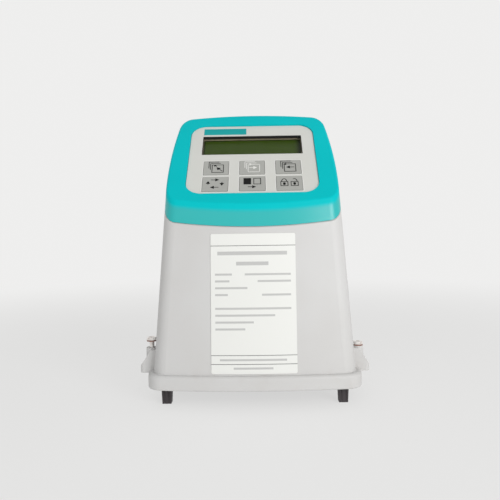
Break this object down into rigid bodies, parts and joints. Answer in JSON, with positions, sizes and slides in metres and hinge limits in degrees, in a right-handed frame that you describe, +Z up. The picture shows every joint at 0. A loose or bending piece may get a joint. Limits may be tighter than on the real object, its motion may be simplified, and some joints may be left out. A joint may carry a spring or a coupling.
{
  "type": "electromagnetic flow meter transmitter",
  "caption": "Plug-on electronics head of an electromagnetic flow meter: tapered housing, sloping turquoise display cap with keys, and captive screws over a plug base.",
  "frame": {"origin": "centre of the flange's bottom plane, where the head sits on the flow sensor's neck", "axes": "+Z up the head, -Y the front with the label and keys, +X to the right as seen from the front"},
  "size_m": [0.1548, 0.0906, 0.2041],
  "materials": {
    "pale_housing": "light grey moulded plastic, fine spark texture",
    "turquoise_cap": "turquoise moulded plastic, satin",
    "black_rubber": "matt",
    "pale_plate": "smooth light grey",
    "clear_window": "clear polycarbonate",
    "olive_display": "dark olive liquid crystal glass",
    "dark_plastic": "matt",
    "grey_silicone": "matt",
    "green_board": "solder resist on glass fibre board",
    "grey_plastic": "matt",
    "zinc_steel": "zinc plated",
    "white_nylon": "matt",
    "brown_plastic": "dark brown glass filled plastic",
    "tinned_brass": "tinned",
    "core_iron": "varnished laminations",
    "coil_tape": "amber tape over copper wire",
    "capacitor_sleeve": "dark heat-shrunk sleeve",
    "relay_case": "blue case",
    "fuse_ceramic": "white tube",
    "chip_black": "matt moulding compound",
    "white_label": "printed polyester film",
    "grey_key": "matt grey keycap",
    "stainless_steel": "turned stainless",
    "fibre_washer": "red vulcanised fibre"
  },
  "bodies": {
    "transmitter": {"housing": "pale_housing", "cap_frame": "turquoise_cap", "display_gasket": "black_rubber", "display_plate": "pale_plate", "display_window": "clear_window", "lcd_glass": "olive_display", "lcd_bezel": "dark_plastic", "key_mat": "grey_silicone", "display_board": "green_board", "display_tray": "grey_plastic", "display_screws": "zinc_steel", "display_plug": "white_nylon", "connector_chassis": "brown_plastic", "plug_block": "dark_plastic", "plug_pins": "tinned_brass", "base_seal": "black_rubber", "main_board": "green_board", "power_board": "green_board", "transformer_core": "core_iron", "transformer_coil": "coil_tape", "capacitors": "capacitor_sleeve", "output_relay": "relay_case", "fuse": "fuse_ceramic", "processor_chips": "chip_black", "main_board_header": "white_nylon", "chassis_screws": "zinc_steel", "rating_label": "white_label"},
    "key_upper_left_body": {"key_upper_left": "grey_key"},
    "key_upper_middle_body": {"key_upper_middle": "grey_key"},
    "key_upper_right_body": {"key_upper_right": "grey_key"},
    "key_lower_left_body": {"key_lower_left": "grey_key"},
    "key_lower_middle_body": {"key_lower_middle": "grey_key"},
    "key_lower_right_body": {"key_lower_right": "grey_key"},
    "screw_front_left": {"captive_screw_front_left": "stainless_steel", "washer_front_left": "fibre_washer"},
    "screw_front_right": {"captive_screw_front_right": "stainless_steel", "washer_front_right": "fibre_washer"},
    "screw_rear_left": {"captive_screw_rear_left": "stainless_steel", "washer_rear_left": "fibre_washer"},
    "screw_rear_right": {"captive_screw_rear_right": "stainless_steel", "washer_rear_right": "fibre_washer"}
  },
  "joints": [
    {"name": "key_upper_left_press", "type": "slide", "parent": "transmitter", "child": "key_upper_left_body", "axis": [0, 0.7254, -0.6884], "range_m": [0, 0.0006], "stiffness_N_per_m": 2500},
    {"name": "key_upper_middle_press", "type": "slide", "parent": "transmitter", "child": "key_upper_middle_body", "axis": [0, 0.7254, -0.6884], "range_m": [0, 0.0006], "stiffness_N_per_m": 2500},
    {"name": "key_upper_right_press", "type": "slide", "parent": "transmitter", "child": "key_upper_right_body", "axis": [0, 0.7254, -0.6884], "range_m": [0, 0.0006], "stiffness_N_per_m": 2500},
    {"name": "key_lower_left_press", "type": "slide", "parent": "transmitter", "child": "key_lower_left_body", "axis": [0, 0.7254, -0.6884], "range_m": [0, 0.0006], "stiffness_N_per_m": 2500},
    {"name": "key_lower_middle_press", "type": "slide", "parent": "transmitter", "child": "key_lower_middle_body", "axis": [0, 0.7254, -0.6884], "range_m": [0, 0.0006], "stiffness_N_per_m": 2500},
    {"name": "key_lower_right_press", "type": "slide", "parent": "transmitter", "child": "key_lower_right_body", "axis": [0, 0.7254, -0.6884], "range_m": [0, 0.0006], "stiffness_N_per_m": 2500},
    {"name": "screw_front_left_travel", "type": "slide", "parent": "transmitter", "child": "screw_front_left", "axis": [0, 0, 1], "range_m": [-0.0043, 0.0027]},
    {"name": "screw_front_right_travel", "type": "slide", "parent": "transmitter", "child": "screw_front_right", "axis": [0, 0, 1], "range_m": [0, 0.007]},
    {"name": "screw_rear_left_travel", "type": "slide", "parent": "transmitter", "child": "screw_rear_left", "axis": [0, 0, 1], "range_m": [0, 0.007]},
    {"name": "screw_rear_right_travel", "type": "slide", "parent": "transmitter", "child": "screw_rear_right", "axis": [0, 0, 1], "range_m": [0, 0.007]}
  ]
}
